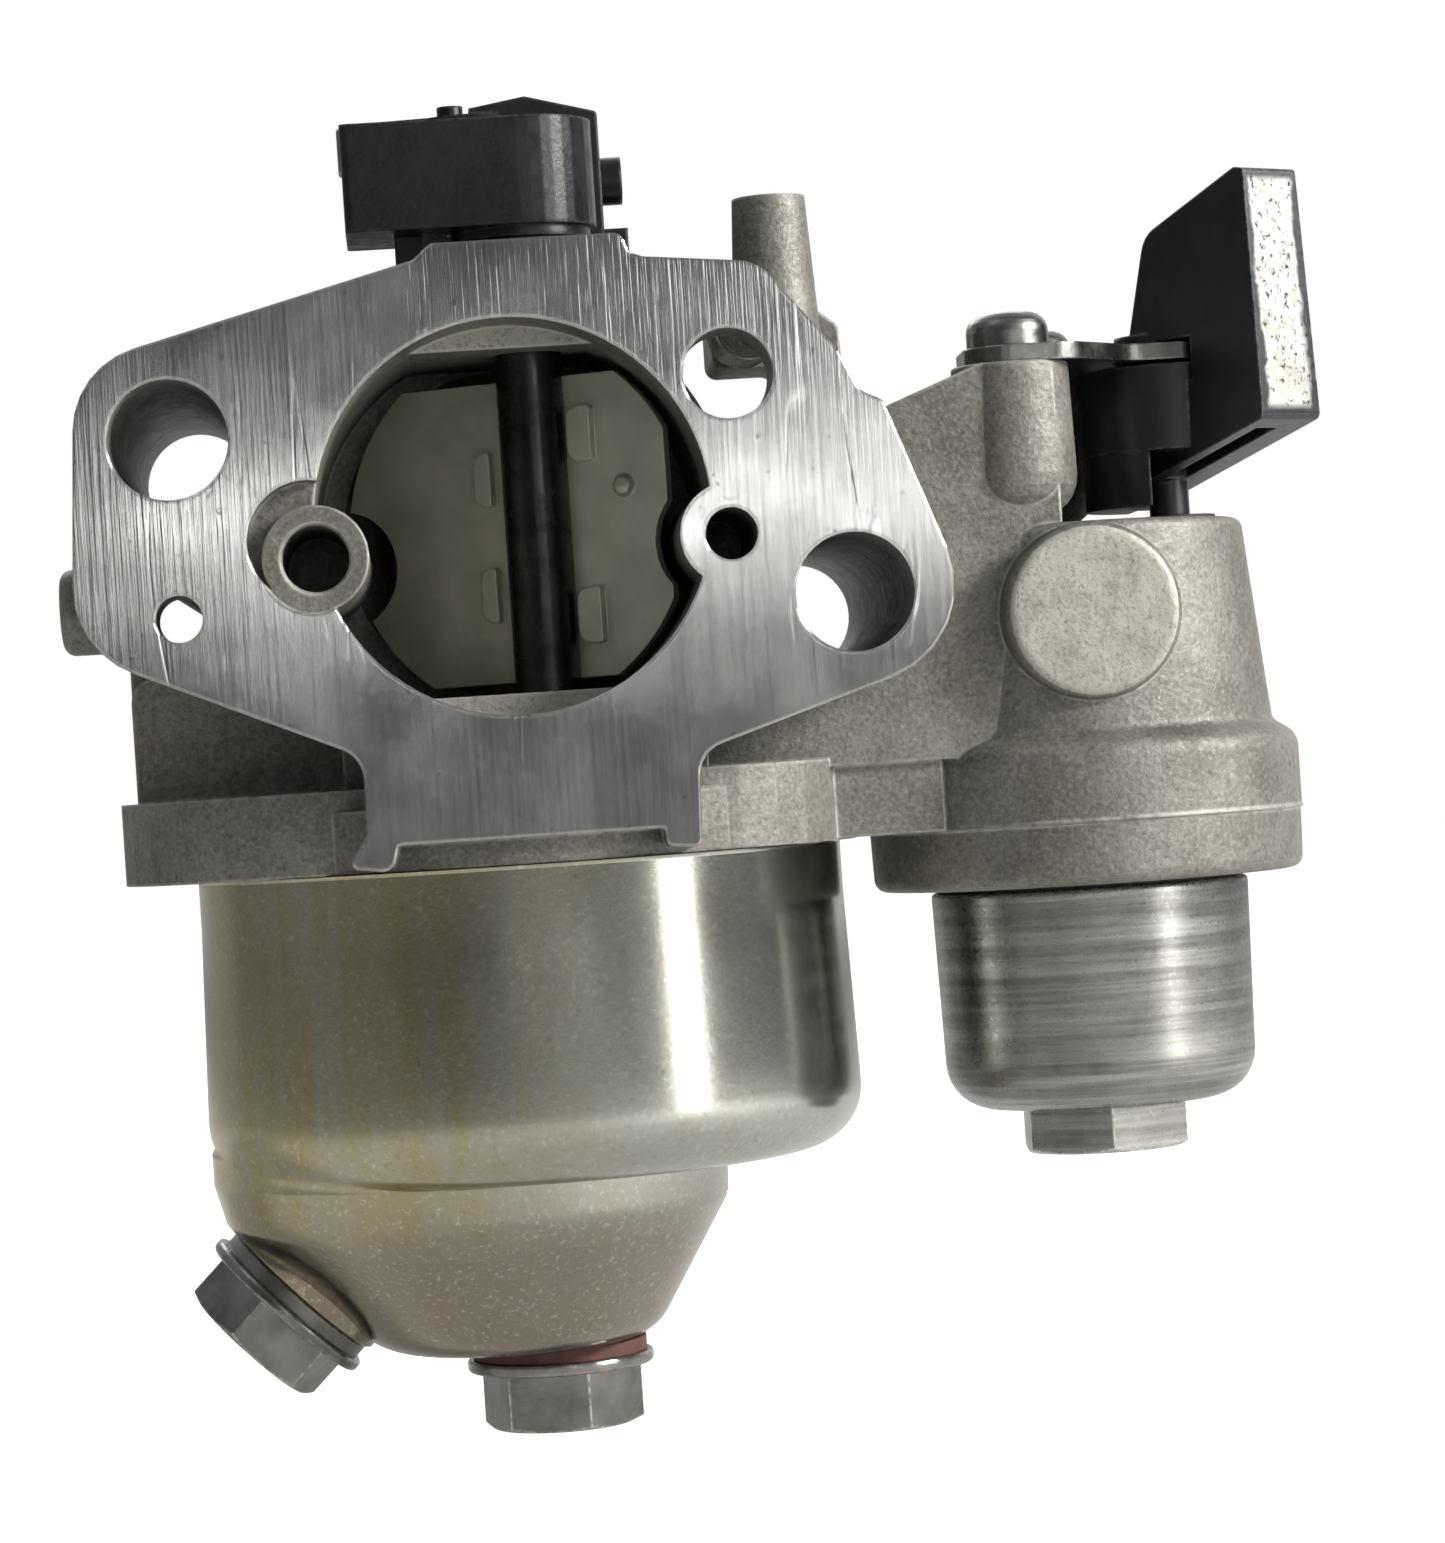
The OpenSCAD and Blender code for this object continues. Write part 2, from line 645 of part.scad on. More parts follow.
module main_nozzle() {
    color([0.75, 0.62, 0.35]) translate([0, bowl_y, 0]) difference() {
        union() {
            rod_z(-35.8, -12, 0, 0, 2.5);
            rod_z(-12.5, -9.2, 0, 0, 2.5, 2.1);
        }
        rod_z(-36.5, -8, 0, 0, 1.1);
        for (z = [-30, -26, -22])
            rod_x(-4, 4, 0, z, 0.4);
    }
}

module main_jet() {
    color([0.75, 0.62, 0.35]) translate([0, bowl_y, 0]) difference() {
        rod_z(-38.9, -36, 0, 0, 2.2);
        rod_z(-39.5, -35, 0, 0, 0.4);
        box([-3, -0.3, -39.5], [3, 0.3, -38.3]);
    }
}

module needle_seat() {
    color([0.75, 0.62, 0.35]) translate([needle_x, bowl_y, 0]) difference() {
        rod_z(-22.9, -17.55, 0, 0, 2.4);
        rod_z(-24, -18.4, 0, 0, needle_r + 0.08);
        rod_z(-18.6, -17, 0, 0, 0.9);
    }
}

module inlet_needle() {
    color([0.65, 0.66, 0.68]) translate([needle_x, bowl_y, 0]) {
        rod_z(-25.05, -23.6, 0, 0, 0.5);
        rod_z(-23.7, -20.4, 0, 0, needle_r);
        rod_z(-20.4, -18.5, 0, 0, needle_r, 0.35);
    }
}

// Horseshoe float, built level and then turned down about its pin
module float() {
    color([0.16, 0.16, 0.17])
        translate([float_pivot_x, bowl_y, float_pivot_z]) rotate([0, -float_drop, 0])
        translate([-float_pivot_x, 0, -float_pivot_z]) difference() {
            union() {
                difference() {
                    turned_solid([
                        [float_inner_r, float_bottom_z, 1], [float_outer_r, float_bottom_z, 1],
                        [float_outer_r, float_top_z, 1], [float_inner_r, float_top_z, 1]
                    ]);
                    box([4, -7, -40], [25, 7, -20]);
                }
                box([10.5, -9.5, -26.6], [12.7, 9.5, -24.7]);
                box([9.7, -1.5, -26.6], [13, 1.5, -24.5]);
                box([12, -3.2, -26.2], [15.8, 3.2, -24.7]);
                box([14.2, -3.2, -25.4], [16.4, 3.2, -23.4]);
                rod_y(-3.6, 3.6, float_pivot_x, float_pivot_z, 1.55);
            }
            rod_y(-5, 5, float_pivot_x, float_pivot_z, float_pin_r + 0.05);
        }
}

module float_pin() {
    color([0.7, 0.7, 0.68]) rod_y(bowl_y - 6.4, bowl_y + 6.4, float_pivot_x, float_pivot_z, float_pin_r);
}

// ---------- float bowl ----------

// One skin of the bowl: flared can, shoulder and tapered sump, pulled in by inset
module bowl_skin(inset, top_z) {
    can_r = bowl_r - inset;
    floor_z = bowl_shoulder_z + inset;
    translate([can_x, bowl_y, 0])
        turned_solid([
            [0, floor_z, 0], [can_r + can_flare, floor_z, bowl_shoulder_r - inset * 0.8],
            [can_r + can_flare, can_flare_z, 0], [can_r, -24, 0], [can_r, top_z, 0], [0, top_z, 0]
        ], 8);
    translate([0, bowl_y, 0]) hull() {
        rod_z(bowl_shoulder_z - 0.4, floor_z + 0.6, sump_top_x, 0, sump_top_r - inset);
        rod_z(sump_wall_z + inset * 0.4, sump_wall_z + 0.6, sump_x, 0, sump_r - inset);
        rod_z(bowl_bottom_z + inset, bowl_bottom_z + inset + 0.4, sump_end_x, 0, sump_end_r - inset * 0.6);
    }
}

// Places children on the drain pad, +Z into the bowl
module at_drain() {
    translate([drain_x, bowl_y, drain_z]) rotate([0, drain_tilt, 0]) children();
}

module float_bowl() {
    color([0.44, 0.43, 0.36]) difference() {
        union() {
            difference() {
                bowl_skin(0, seat_z - 0.05);
                bowl_skin(bowl_t, seat_z + 1);
            }
            at_drain() rod_z(-0.3, 1.6, 0, 0, 5.8);
            at_drain() rod_z(0.5, 4, 0, 0, 4.6);
        }
        rod_z(-60, -45, 0, bowl_y, bolt_r + 0.15);
        at_drain() rod_z(-2, 8, 0, 0, bolt_r + fit_gap);
    }
}

module bowl_gasket() {
    color([0.1, 0.1, 0.1]) translate([can_x, bowl_y, 0])
        turned_solid([[18.5, -22.3, 0.4], [19.45, -22.3, 0.4], [19.45, seat_z, 0.2], [18.5, seat_z, 0.2]], 3);
}

module bowl_bolt() {
    color([0.5, 0.5, 0.47]) translate([0, bowl_y, bowl_bottom_z - washer_t]) flange_bolt(12.2, 3.8, -12.5);
}

module bowl_bolt_washer() {
    color([0.45, 0.2, 0.16]) translate([0, bowl_y, bowl_bottom_z - washer_t])
        ring(0, washer_t, bolt_r + 0.15, 5.6);
}

module drain_bolt() {
    color([0.5, 0.49, 0.45]) at_drain() translate([0, 0, -0.3 - washer_t]) flange_bolt(6, 3.2, 12);
}

module drain_washer() {
    color([0.4, 0.22, 0.17]) at_drain() translate([0, 0, -0.3 - washer_t])
        ring(0, washer_t, bolt_r + 0.15, 5.5);
}

// ---------- fuel valve ----------

// Height of the lever's sloping underside at a distance along it
function lever_under_z(u) = 0.52 + 0.283 * u;

module fuel_valve_lever() {
    over_z = valve_plate_z + valve_plate_t + 0.25;
    plate_reach = 5.45;
    neck_r = 2.9;
    heel = -4.9;
    tip = 11.6;
    color([0.1, 0.11, 0.12]) translate([valve_x, valve_y, 0]) {
        rotate([0, 0, -lever_angle]) difference() {
            union() {
                rod_z(valve_hub_z, valve_shoulder_z, 0, 0, valve_hub_r);
                rod_z(valve_shoulder_z - 0.5, over_z + 0.6, 0, 0, neck_r);
                rod_z(valve_drum_z - 0.3, valve_hub_z + 0.5, 0, 0, valve_spindle_r);
                rod_z(-8.8, valve_drum_z, 0, 0, valve_drum_r);
                intersection() {
                    slab_y([
                        [-0.3, over_z, 0], [plate_reach, over_z, 0], [plate_reach, valve_shoulder_z - 1.2, 0],
                        [heel, valve_shoulder_z - 1.2, 0], [heel, lever_under_z(heel), 0.4],
                        [tip, lever_under_z(tip), 0.5], [11, 19.6, 0.3], [10.2, 19.75, 0.4], [1.7, 16.5, 2]
                    ], -3, 3, 4);
                    translate([-6, 0, 0]) rotate([90, 0, 90]) linear_extrude(20)
                        polygon([[-2.65, -3], [2.65, -3], [2.3, 21], [-2.3, 21]]);
                }
            }
            box([1.4, -1.5, -3], [9.9, 0.3, 5]);
        }
        intersection() {
            rod_z(valve_cam_z, valve_hub_z + 0.3, 0, 0, valve_hub_r - 0.2);
            box([-8, -8, -2], [-1.9, 8, 4]);
        }
    }
}

module fuel_valve_seal() {
    color([0.1, 0.1, 0.1]) translate([valve_x, valve_y, valve_drum_z + 0.1])
        ring(0, 0.7, valve_spindle_r + 0.05, 2.9);
}

module valve_retaining_plate() {
    color([0.62, 0.62, 0.6]) difference() {
        slab_z([
            [29.2, -31.6, 2.6], [35.6, -31.6, 3], [40.2, -26.6, 3], [48.2, -25.8, 4.9], [48.1, -16.2, 4.9],
            [40.8, -15.6, 1.5], [38.8, -11.2, 2.6], [32.9, -11.2, 2.6], [32.4, -18, 2], [29.4, -24, 2]
        ], valve_plate_z, valve_plate_z + valve_plate_t, 8);
        rod_z(valve_plate_z - 1, valve_plate_z + 2, valve_x, valve_y, 3.1);
        for (spot = plate_screw_spots)
            rod_z(valve_plate_z - 1, valve_plate_z + 2, spot.x, spot.y, screw_r + 0.15);
    }
}

module valve_plate_screws() {
    color([0.6, 0.6, 0.57])
        for (spot = plate_screw_spots)
            translate([spot.x, spot.y, valve_plate_z + valve_plate_t]) pan_screw(2.6, 2.2, screw_r, 7.5);
}

// ---------- sediment cup and inlet ----------

module sediment_cup() {
    cup_top_z = ring_bottom_z - 0.3;
    cup_bottom_z = -39;
    color([0.62, 0.62, 0.6]) translate([tower_x, tower_y, 0]) {
        difference() {
            turned_solid([
                [0, cup_bottom_z, 0], [cup_r - 0.3, cup_bottom_z, 3], [cup_r, cup_top_z, 0.3],
                [cup_neck_r, cup_top_z, 0], [cup_neck_r, -18, 0.3], [0, -18, 0]
            ], 8);
            turned_solid([[0, -37.4, 0], [7.2, -37.4, 2], [7.2, -17, 0], [0, -17, 0]]);
            translate([0, 0, cup_top_z - 0.4]) ring(0, 1, cup_neck_r + 0.1, 9.8);
        }
        translate([0, 0, cup_bottom_z + 0.5]) rotate([0, 0, 27]) hex_head(10, 3.5);
    }
}

module sediment_cup_seal() {
    color([0.08, 0.08, 0.08]) translate([tower_x, tower_y, ring_bottom_z - 0.7])
        ring(0, 0.7, cup_neck_r + 0.15, 9.7);
}

module fuel_strainer() {
    color([0.75, 0.72, 0.62]) translate([tower_x, tower_y, 0]) difference() {
        turned_solid([[0, -12.1, 0], [6.6, -12.1, 0.5], [6.6, -17.3, 0], [7.3, -17.35, 0], [7.3, -17.95, 0], [0, -17.95, 0]]);
        rod_z(-19, -12.6, 0, 0, 6);
        for (turn = [0 : 30 : 150])
            rotate([0, 0, turn]) box([-8, -0.7, -16.8], [8, 0.7, -13.2]);
    }
}

module fuel_inlet_nipple() {
    color([0.72, 0.62, 0.38]) difference() {
        union() {
            rod_y(-14, -7.2, tower_x, -8.5, 2.2);
            rod_y(-7.45, -6.3, tower_x, -8.5, 3.6);
            rod_y(-6.5, 6.5, tower_x, -8.5, 2.8);
        }
        rod_y(-15, 8, tower_x, -8.5, 1.5);
    }
}

module passage_plugs() {
    color([0.66, 0.64, 0.6]) {
        rod_z(-15.5, -13.8, choke_x, choke_y, 2.5);
        rod_x(-28.45, -27.4, -23, -3.3, 1.5);
    }
}

carburetor_body();
choke_shaft();
choke_plate();
choke_lever();
throttle_shaft();
throttle_plate();
throttle_plate_screw();
throttle_lever();
throttle_shaft_seal();
choke_shaft_seal();
idle_stop_screw();
idle_stop_spring();
mixture_screw();
mixture_spring();
pilot_jet();
pilot_jet_seal();
main_nozzle();
main_jet();
float();
float_pin();
inlet_needle();
needle_seat();
float_bowl();
bowl_gasket();
bowl_bolt();
bowl_bolt_washer();
drain_bolt();
drain_washer();
fuel_valve_lever();
fuel_valve_seal();
valve_retaining_plate();
valve_plate_screws();
sediment_cup();
sediment_cup_seal();
fuel_strainer();
fuel_inlet_nipple();
passage_plugs();
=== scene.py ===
import math
import bpy
from mathutils import Matrix, Vector


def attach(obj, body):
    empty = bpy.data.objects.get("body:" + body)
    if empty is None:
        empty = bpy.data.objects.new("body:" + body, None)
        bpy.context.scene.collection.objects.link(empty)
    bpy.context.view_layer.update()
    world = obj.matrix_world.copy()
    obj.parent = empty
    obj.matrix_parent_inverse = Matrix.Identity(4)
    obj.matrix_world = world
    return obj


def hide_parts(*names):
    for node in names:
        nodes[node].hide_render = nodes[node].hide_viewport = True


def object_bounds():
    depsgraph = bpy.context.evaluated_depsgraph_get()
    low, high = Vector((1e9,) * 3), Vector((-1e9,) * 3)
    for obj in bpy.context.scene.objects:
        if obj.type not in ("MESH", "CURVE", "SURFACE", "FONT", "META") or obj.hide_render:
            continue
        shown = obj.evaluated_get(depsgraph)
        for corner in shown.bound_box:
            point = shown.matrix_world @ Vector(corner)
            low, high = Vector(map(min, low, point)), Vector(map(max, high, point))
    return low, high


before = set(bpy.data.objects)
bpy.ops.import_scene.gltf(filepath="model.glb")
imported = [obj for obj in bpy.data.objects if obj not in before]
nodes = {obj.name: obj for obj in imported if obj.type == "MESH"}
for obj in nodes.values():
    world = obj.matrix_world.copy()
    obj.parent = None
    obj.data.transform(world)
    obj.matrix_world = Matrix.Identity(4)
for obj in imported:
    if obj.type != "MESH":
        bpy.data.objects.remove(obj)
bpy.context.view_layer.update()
scene = bpy.context.scene
scene.view_settings.view_transform = "Standard"


# ---------- materials ----------

class Mat:
    """Builds one procedural material out of small steps."""

    def __init__(self, name):
        self.mat = bpy.data.materials.new(name)
        self.mat.use_nodes = True
        self.tree = self.mat.node_tree
        self.shader = self.tree.nodes["Principled BSDF"]
        self.coords = self.node("ShaderNodeTexCoord").outputs["Object"]

    def node(self, kind, **settings):
        n = self.tree.nodes.new(kind)
        for k, v in settings.items():
            setattr(n, k, v)
        return n

    def put(self, value, socket):
        if hasattr(value, "links"):
            self.tree.links.new(value, socket)
        else:
            socket.default_value = value

    def math(self, op, a, b=0.5, c=0.5, clamp=False):
        n = self.node("ShaderNodeMath", operation=op, use_clamp=clamp)
        for i, v in enumerate((a, b, c)):
            self.put(v, n.inputs[i])
        return n.outputs[0]

    def noise(self, scale, detail=4.0, rough=0.55, stretch=(1, 1, 1), shift=(0, 0, 0), distort=0.0):
        m = self.node("ShaderNodeMapping")
        m.inputs["Scale"].default_value = stretch
        m.inputs["Location"].default_value = shift
        self.tree.links.new(self.coords, m.inputs["Vector"])
        n = self.node("ShaderNodeTexNoise")
        n.inputs["Scale"].default_value = scale
        n.inputs["Detail"].default_value = detail
        n.inputs["Roughness"].default_value = rough
        n.inputs["Distortion"].default_value = distort
        self.tree.links.new(m.outputs[0], n.inputs["Vector"])
        return n.outputs["Fac"]

    def span(self, value, low, high, out_low=0.0, out_high=1.0):
        n = self.node("ShaderNodeMapRange")
        for i, v in enumerate((value, low, high, out_low, out_high)):
            self.put(v, n.inputs[i])
        return n.outputs[0]

    def mix(self, fac, a, b):
        n = self.node("ShaderNodeMix", data_type="RGBA")
        self.put(fac, n.inputs[0])
        self.put(a if hasattr(a, "links") else (*a, 1.0), n.inputs[6])
        self.put(b if hasattr(b, "links") else (*b, 1.0), n.inputs[7])
        return n.outputs[2]

    def mixf(self, fac, a, b):
        n = self.node("ShaderNodeMix", data_type="FLOAT")
        for i, v in enumerate((fac, a, b)):
            self.put(v, n.inputs[i + (0 if i == 0 else 1)])
        return n.outputs[0]

    def axis(self, name, source=None):
        n = self.node("ShaderNodeSeparateXYZ")
        self.tree.links.new(source or self.coords, n.inputs[0])
        return n.outputs[name]

    def along(self, origin, direction):
        """Distance in mm from origin along a direction, in the part's own frame"""
        away = self.node("ShaderNodeVectorMath", operation="SUBTRACT")
        self.tree.links.new(self.coords, away.inputs[0])
        away.inputs[1].default_value = origin
        dot = self.node("ShaderNodeVectorMath", operation="DOT_PRODUCT")
        self.tree.links.new(away.outputs[0], dot.inputs[0])
        dot.inputs[1].default_value = [c * 1000 for c in direction]
        return dot.outputs["Value"]

    def scratches(self, stretch, scale=260.0, width=0.012, shift=(0, 0, 0)):
        """Thin lines where a stretched noise crosses its middle value"""
        n = self.noise(scale, 2, 0.4, stretch=stretch, shift=shift)
        off = self.math("ABSOLUTE", self.math("SUBTRACT", n, 0.5))
        return self.span(off, width, 0.0)

    def edge(self, radius, samples=4):
        """(rounded normal, mask that is 1 along worn edges)"""
        b = self.node("ShaderNodeBevel", samples=samples)
        b.inputs["Radius"].default_value = radius
        g = self.node("ShaderNodeNewGeometry")
        dot = self.node("ShaderNodeVectorMath", operation="DOT_PRODUCT")
        self.tree.links.new(b.outputs[0], dot.inputs[0])
        self.tree.links.new(g.outputs["Normal"], dot.inputs[1])
        return b.outputs[0], self.span(dot.outputs["Value"], 0.995, 0.93)

    def bump(self, height, distance, strength=1.0, normal=None):
        n = self.node("ShaderNodeBump")
        n.inputs["Strength"].default_value = strength
        n.inputs["Distance"].default_value = distance
        self.put(height, n.inputs["Height"])
        if normal is not None:
            self.tree.links.new(normal, n.inputs["Normal"])
        return n.outputs[0]

    def finish(self, color, rough, metal, normal=None, spec=None):
        self.put(color if hasattr(color, "links") else (*color, 1.0), self.shader.inputs["Base Color"])
        self.put(rough, self.shader.inputs["Roughness"])
        self.put(metal, self.shader.inputs["Metallic"])
        if normal is not None:
            self.tree.links.new(normal, self.shader.inputs["Normal"])
        if spec is not None:
            self.shader.inputs["Specular IOR Level"].default_value = spec
        return self.mat


CAST_DARK = (0.125, 0.117, 0.101)
CAST_LIGHT = (0.215, 0.207, 0.185)
CAST_SPECK = (0.40, 0.39, 0.355)
CAST_PIT = (0.06, 0.056, 0.048)
FACE_DARK = (0.40, 0.392, 0.378)
FACE_LIGHT = (0.54, 0.535, 0.52)


def simple(name, a, b, rough, metal, grain=2600, depth=1.5e-5, wear=None, radius=1.5e-4, streak=None, spread=0.08, spec=None):
    m = Mat(name)
    normal, edge = m.edge(radius)
    mottle = m.span(m.noise(grain * 0.12, 5), 0.32, 0.68)
    fine = m.noise(grain, 6)
    color = m.mix(mottle, a, b)
    r = m.span(m.noise(grain * 0.3, 3, shift=(3, 1, 2)), 0.3, 0.7, rough - spread, rough + spread)
    height = fine
    if streak:
        lines = m.noise(900, 4, 0.65, stretch=streak)
        height = m.mixf(0.5, fine, lines)
        color = m.mix(m.span(lines, 0.35, 0.7, 0.0, 0.5), color, tuple(min(1.0, c * 1.5) for c in b))
    if wear:
        color = m.mix(m.math("MULTIPLY", edge, m.span(fine, 0.35, 0.6)), color, wear)
    return m.finish(color, r, metal, m.bump(height, depth, 0.6, normal), spec)


def cast_body():
    """Rough die casting with machined flange faces"""
    m = Mat("cast_body")
    normal, edge = m.edge(3.0e-4)
    y = m.axis("Y")
    ny = m.axis("Y", m.node("ShaderNodeTexCoord").outputs["Normal"])
    flat = m.math("ABSOLUTE", ny)
    front = m.math("LESS_THAN", y, -0.0419)
    rear = m.math("GREATER_THAN", y, -0.00015)
    face = m.math("MULTIPLY", m.math("MAXIMUM", front, rear), m.span(flat, 0.98, 0.995))
    grain = m.noise(3200, 6, 0.68)
    lumps = m.noise(900, 4, 0.6, shift=(4, 2, 7))
    mottle = m.noise(170, 5, 0.6)
    skin = m.mix(m.span(mottle, 0.34, 0.66), CAST_DARK, CAST_LIGHT)
    boss = m.math("MULTIPLY", m.math("LESS_THAN", y, -0.03395), m.math("MULTIPLY", m.span(m.axis("X"), 0.0300, 0.0304), m.span(m.axis("Z"), -0.0142, -0.0138)))
    # painted light: the flat front-facing ledge at y -37 mm is lightened
    ledge_painted_light = m.math("MULTIPLY", m.math("GREATER_THAN", y, -0.0371), m.math("LESS_THAN", y, -0.0369))
    skin = m.mix(m.math("MULTIPLY", ledge_painted_light, m.span(flat, 0.98, 0.995, 0.0, 0.8)), skin, (0.44, 0.425, 0.375))
    # painted light: the blank boss face in front of y -33.95 mm is lifted to a lighter, mottled sand colour
    lens = m.math("MULTIPLY", m.span(m.noise(420, 5, 0.65, shift=(6, 1, 4)), 0.3, 0.55, 0.45, 1.0), boss)
    skin = m.mix(lens, skin, (0.40, 0.39, 0.345))
    skin = m.mix(m.span(grain, 0.5, 0.78, 0.0, 0.55), skin, CAST_SPECK)
    skin = m.mix(m.span(grain, 0.48, 0.28, 0.0, 0.7), skin, CAST_PIT)
    skin = m.mix(m.math("MULTIPLY", edge, m.span(lumps, 0.3, 0.55)), skin, (0.50, 0.49, 0.455))
    lines = m.noise(1500, 3, 0.6, stretch=(2.2, 1, 0.05))
    plate = m.mix(m.span(m.noise(85, 4, 0.6), 0.34, 0.68), FACE_DARK, FACE_LIGHT)
    plate = m.mix(m.span(lines, 0.35, 0.7, 0.0, 0.5), plate, (0.66, 0.65, 0.63))
    plate = m.mix(m.span(lines, 0.4, 0.25, 0.0, 0.5), plate, (0.3, 0.29, 0.28))
    plate = m.mix(m.span(m.noise(2200, 5, 0.7, shift=(1, 5, 2)), 0.62, 0.7, 0.0, 0.7), plate, (0.2, 0.19, 0.17))
    cuts = m.math("MULTIPLY", m.scratches((0.9, 1, 0.09)), m.span(m.noise(120, 2, shift=(8, 1, 3)), 0.5, 0.6))
    plate = m.mix(m.math("MULTIPLY", cuts, 0.6), plate, (0.75, 0.74, 0.72))
    color = m.mix(face, skin, plate)
    rough = m.mixf(face, m.span(lumps, 0.3, 0.7, 0.42, 0.6), m.span(m.noise(140, 4, shift=(2, 2, 2)), 0.3, 0.7, 0.10, 0.18))
    tall = m.math("ADD", m.math("MULTIPLY", grain, 0.5), lumps)
    low = m.math("ADD", m.math("MULTIPLY", lines, 0.3), m.math("MULTIPLY", cuts, -0.12))
    height = m.mixf(face, tall, low)
    return m.finish(color, rough, m.mixf(face, 0.4, 1.0), m.bump(height, 1.1e-4, 0.8, normal))


def bowl_sheet():
    """Drawn sheet with a yellowish plating that is thinner on one side"""
    m = Mat("bowl_sheet")
    x = m.axis("X")
    z = m.axis("Z")
    speck = m.noise(2600, 5, 0.7)
    cloud = m.noise(60, 4, 0.6, stretch=(1, 1, 0.5))
    run = m.noise(420, 3, 0.6, stretch=(1, 1, 0.07))
    side = m.math("ADD", m.span(x, -0.02, 0.012), m.span(cloud, 0.3, 0.7, -0.35, 0.35))
    color = m.mix(m.math("ADD", side, 0.0, clamp=True), (0.40, 0.365, 0.235), (0.42, 0.425, 0.405))
    color = m.mix(m.math("MULTIPLY", m.span(run, 0.42, 0.66), m.span(x, 0.004, -0.012, 0.1, 0.85)), color, (0.38, 0.33, 0.15))
    # painted shade: below the shoulder the downward-facing sump is darkened to a dark tan
    color = m.mix(m.span(z, -0.040, -0.045, 0.0, 0.8), color, (0.25, 0.212, 0.172))
    color = m.mix(m.span(speck, 0.55, 0.72, 0.0, 0.7), color, (0.62, 0.62, 0.58))
    color = m.mix(m.span(speck, 0.42, 0.3, 0.0, 0.5), color, (0.2, 0.19, 0.15))
    rough = m.span(cloud, 0.3, 0.7, 0.15, 0.24)
    height = m.math("ADD", m.math("MULTIPLY", speck, 0.3), m.math("MULTIPLY", run, 0.4))
    return m.finish(color, rough, 1.0, m.bump(height, 1.6e-5, 0.7))


def turned_cup():
    """Turned and tumbled alloy with ring marks"""
    m = Mat("turned_cup")
    normal, edge = m.edge(2.5e-4)
    rings = m.noise(1700, 3, 0.6, stretch=(0.03, 0.03, 1))
    fine = m.noise(2600, 6, 0.65)
    stain = m.noise(150, 4, 0.6)
    color = m.mix(m.span(stain, 0.32, 0.68), (0.15, 0.147, 0.14), (0.30, 0.295, 0.28))
    color = m.mix(m.span(rings, 0.4, 0.7, 0.0, 0.5), color, (0.62, 0.62, 0.60))
    color = m.mix(m.math("MULTIPLY", edge, m.span(fine, 0.3, 0.6)), color, (0.85, 0.85, 0.83))
    height = m.math("ADD", rings, m.math("MULTIPLY", fine, 0.4))
    return m.finish(color, m.span(fine, 0.3, 0.7, 0.22, 0.36), 1.0, m.bump(height, 2.4e-5, 0.7, normal))


def worn_lever():
    """Black moulding whose handle end has worn through to bright metal paint"""
    m = Mat("worn_lever")
    normal, edge = m.edge(2.5e-4)
    turn = math.radians(56)
    pivot = (0.0431, -0.021, 0.0038)
    u = m.along(pivot, (math.cos(turn), -math.sin(turn), 0))
    v = m.along(pivot, (math.sin(turn), math.cos(turn), 0))
    w = m.along(pivot, (0, 0, 1))
    fine = m.noise(2200, 6, 0.68)
    patch = m.noise(420, 4, 0.6)
    limit = m.math("SUBTRACT", 11.5, m.math("MULTIPLY", w, 0.038))
    tip = m.math("GREATER_THAN", u, limit)
    across = m.math("ADD", m.math("ABSOLUTE", v), m.span(patch, 0.3, 0.7, -0.25, 0.3))
    inside = m.math("MULTIPLY", m.span(across, 2.05, 1.75), m.math("MULTIPLY", m.span(w, 0.5, 0.9), m.span(w, 15.4, 15.0)))
    worn = m.math("MULTIPLY", m.math("MULTIPLY", tip, inside), m.span(fine, 0.36, 0.44))
    black = m.mix(m.span(patch, 0.3, 0.7), (0.004, 0.0055, 0.008), (0.010, 0.0125, 0.017))
    black = m.mix(m.math("MULTIPLY", edge, m.span(fine, 0.42, 0.6, 0.0, 0.8)), black, (0.2, 0.2, 0.2))
    silver = m.mix(m.span(patch, 0.35, 0.65), (0.26, 0.255, 0.235), (0.42, 0.41, 0.385))
    color = m.mix(worn, black, silver)
    rough = m.mixf(worn, m.span(fine, 0.3, 0.7, 0.28, 0.4), 0.42)
    return m.finish(color, rough, m.math("MULTIPLY", worn, 0.7), m.bump(m.math("ADD", fine, worn), 2.2e-5, 0.7, normal))


